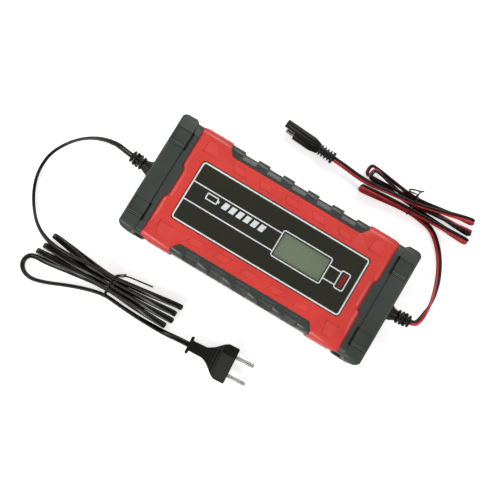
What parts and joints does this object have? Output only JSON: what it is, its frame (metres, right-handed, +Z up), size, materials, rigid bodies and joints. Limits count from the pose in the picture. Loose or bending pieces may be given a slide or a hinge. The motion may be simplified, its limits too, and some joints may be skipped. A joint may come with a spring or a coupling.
{
  "type": "car battery charger",
  "caption": "Long red battery charger with grey rubber end boots and side grips, a display, one push button, a mains lead with flat plug and an output lead with a two pole connector.",
  "frame": {"origin": "on the bench, under the middle of the case", "axes": "+X along the case from the mains end to the output end, +Y across it to the far side, +Z up"},
  "size_m": [0.39, 0.2658, 0.048],
  "materials": {
    "red_case": "semi-gloss, fine moulded grain",
    "grey_rubber": "matt",
    "black_panel": "satin film",
    "clear_window": "clear, polished",
    "display_glass": "grey-green",
    "white_backlight": "satin",
    "black_button": "satin",
    "green_board": "satin lacquer",
    "black_moulding": "satin",
    "black_cord": "glossy soft vinyl",
    "twin_cord": "glossy soft vinyl, one core red",
    "black_tie": "satin",
    "nickel_pin": "bright nickel",
    "brass_contact": "bright",
    "steel_screw": "zinc plated",
    "aluminium_plate": "plain",
    "ferrite_core": "dull",
    "yellow_tape": "satin",
    "copper_choke": "lacquered",
    "fuse_glass": "clear",
    "white_part": "satin",
    "green_terminal": "satin",
    "can_sleeve": "satin sleeve",
    "pale_sleeve": "satin, slightly clear",
    "core_insulation": "satin"
  },
  "bodies": {
    "case": {"top_shell": "red_case", "bottom_shell": "red_case", "mains_end_boot": "grey_rubber", "output_end_boot": "grey_rubber", "near_side_grip": "grey_rubber", "far_side_grip": "grey_rubber", "front_panel": "black_panel", "display_window": "clear_window", "display_board": "green_board", "display_backlight": "white_backlight", "display_glass": "display_glass", "switch_body": "black_moulding", "case_screws": "steel_screw", "circuit_board_screws": "steel_screw", "display_board_screws": "steel_screw", "circuit_board": "green_board", "mains_terminal": "green_terminal", "fuse_clips": "brass_contact", "fuse": "fuse_glass", "mains_choke": "copper_choke", "interference_capacitor": "yellow_tape", "bridge_rectifier": "black_moulding", "mains_capacitor": "can_sleeve", "transformer_core": "ferrite_core", "transformer_winding": "yellow_tape", "mains_heatsink": "aluminium_plate", "mains_transistor": "black_moulding", "output_heatsink": "aluminium_plate", "output_rectifiers": "black_moulding", "output_capacitors": "can_sleeve", "output_choke": "copper_choke", "relay": "white_part", "control_chip": "black_moulding", "board_link": "white_part", "output_terminal": "green_terminal", "mains_strain_relief": "black_moulding", "mains_cores": "core_insulation", "output_strain_relief": "black_moulding", "output_cores": "core_insulation", "mains_cord_lead": "black_cord", "mains_cord_hank": "black_cord", "mains_cord_tail": "black_cord", "output_cord_lead": "twin_cord", "output_cord_hank": "twin_cord", "output_cord_tail": "twin_cord", "mains_cord_tie": "black_tie", "output_cord_tie": "black_tie", "mains_plug": "black_moulding", "mains_plug_pins": "nickel_pin", "mains_plug_pin_sleeves": "pale_sleeve", "output_connector": "black_moulding", "output_connector_pin": "nickel_pin", "output_connector_socket": "brass_contact"},
    "mode_button": {"mode_button": "black_button", "switch_plunger": "white_part"}
  },
  "joints": [
    {"name": "mode_button_press", "type": "slide", "parent": "case", "child": "mode_button", "axis": [0, 0, -1], "range_m": [0, 0.0005], "stiffness_N_per_m": 200, "springref_m": -0.001}
  ]
}
